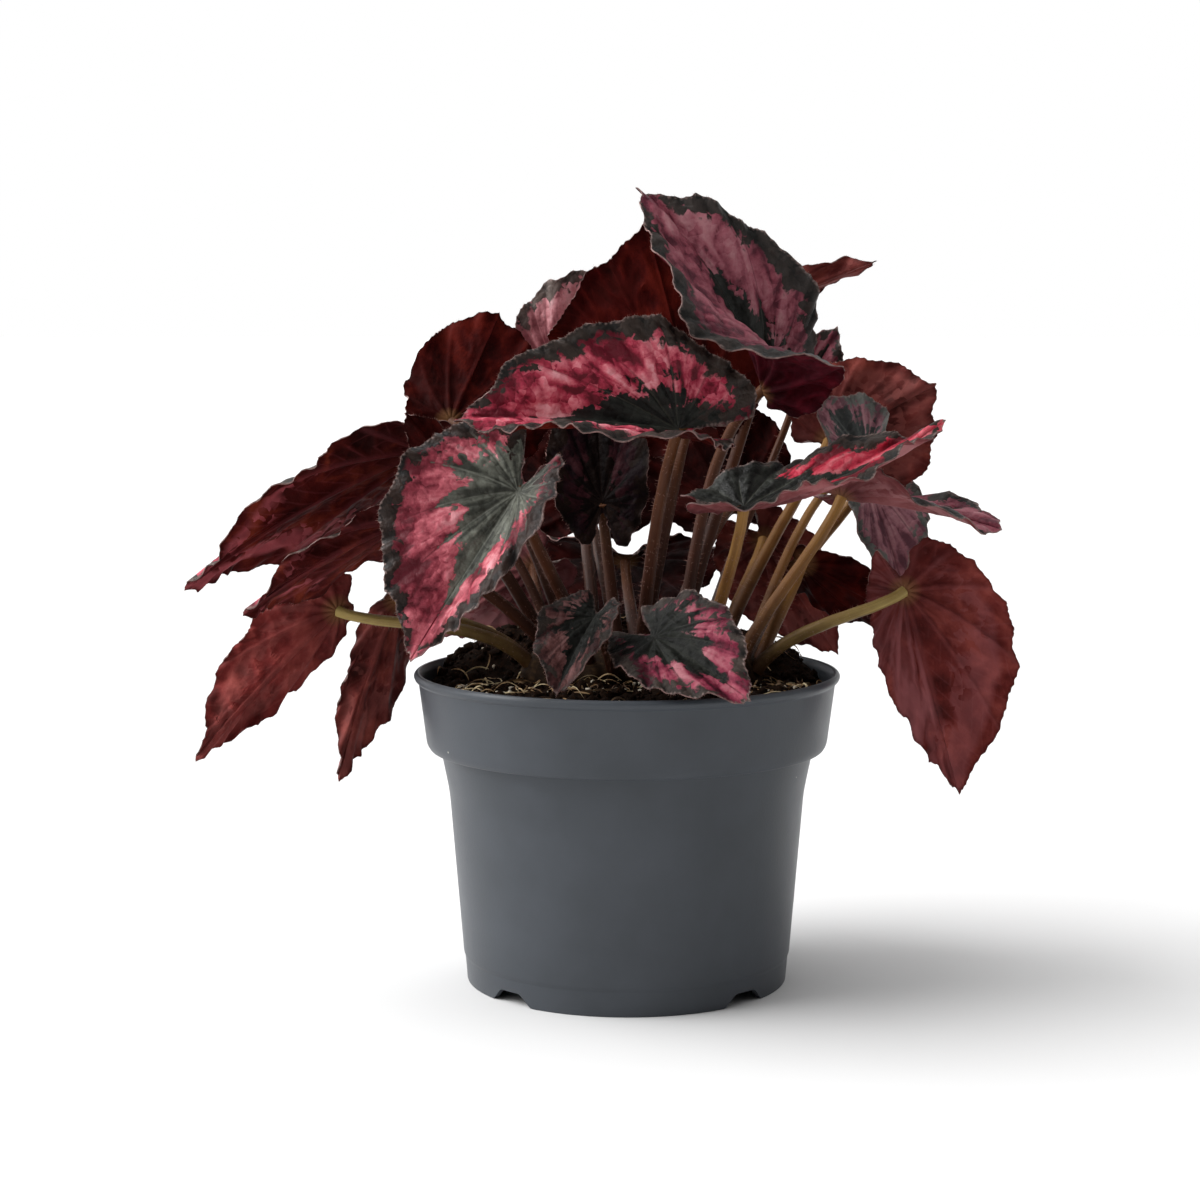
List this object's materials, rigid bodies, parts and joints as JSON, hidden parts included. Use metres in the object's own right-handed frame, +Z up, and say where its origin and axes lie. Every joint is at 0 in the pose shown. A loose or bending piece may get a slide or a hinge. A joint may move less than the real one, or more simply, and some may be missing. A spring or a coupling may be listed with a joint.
{
  "type": "potted begonia",
  "caption": "Painted-leaf begonia in a round plastic nursery pot: dark red and pink heart-shaped leaves with near-black hearts and margins on olive-brown stalks.",
  "frame": {"origin": "on the ground under the centre of the pot, at the middle of the flat boss under the pot's floor", "axes": "+Z up along the pot's axis, +Y away from the side the plant is looked at from, +X to the right of that side"},
  "size_m": [0.2292, 0.1507, 0.2212],
  "materials": {
    "pot": "satin slate-grey moulded plastic",
    "soil": "rough damp peat with straw fibres",
    "rhizome": "matte scaly plant stem",
    "stalk": "satin, finely haired plant stalk",
    "blade": "satin leaf, crimson and pink band with near-black heart and margin, maroon underside"
  },
  "bodies": {
    "root": {"pot": "pot", "soil": "soil", "rhizome": "rhizome", "top_stalk": "stalk", "top_blade": "blade", "top_back_stalk": "stalk", "top_back_blade": "blade", "back_left_stalk": "stalk", "back_left_blade": "blade", "front_centre_stalk": "stalk", "front_centre_blade": "blade", "front_left_stalk": "stalk", "front_left_blade": "blade", "left_high_stalk": "stalk", "left_high_blade": "blade", "far_left_stalk": "stalk", "far_left_blade": "blade", "left_curled_stalk": "stalk", "left_curled_blade": "blade", "low_left_stalk": "stalk", "low_left_blade": "blade", "low_left_inner_stalk": "stalk", "low_left_inner_blade": "blade", "small_left_stalk": "stalk", "small_left_blade": "blade", "small_right_stalk": "stalk", "small_right_blade": "blade", "low_right_stalk": "stalk", "low_right_blade": "blade", "right_curled_stalk": "stalk", "right_curled_blade": "blade", "right_tip_stalk": "stalk", "right_tip_blade": "blade", "right_high_stalk": "stalk", "right_high_blade": "blade", "back_right_stalk": "stalk", "back_right_blade": "blade", "back_right_small_stalk": "stalk", "back_right_small_blade": "blade", "right_hang_stalk": "stalk", "right_hang_blade": "blade", "right_under_stalk": "stalk", "right_under_blade": "blade", "right_long_stalk": "stalk", "right_long_blade": "blade", "inner_dark_stalk": "stalk", "inner_dark_blade": "blade", "inner_left_stalk": "stalk", "inner_left_blade": "blade", "centre_back_stalk": "stalk", "centre_back_blade": "blade", "inner_back_stalk": "stalk", "inner_back_blade": "blade", "low_back_stalk": "stalk", "low_back_blade": "blade", "young_left_stalk": "stalk", "young_left_blade": "blade", "right_mid_stalk": "stalk", "right_mid_blade": "blade"}
  },
  "joints": []
}
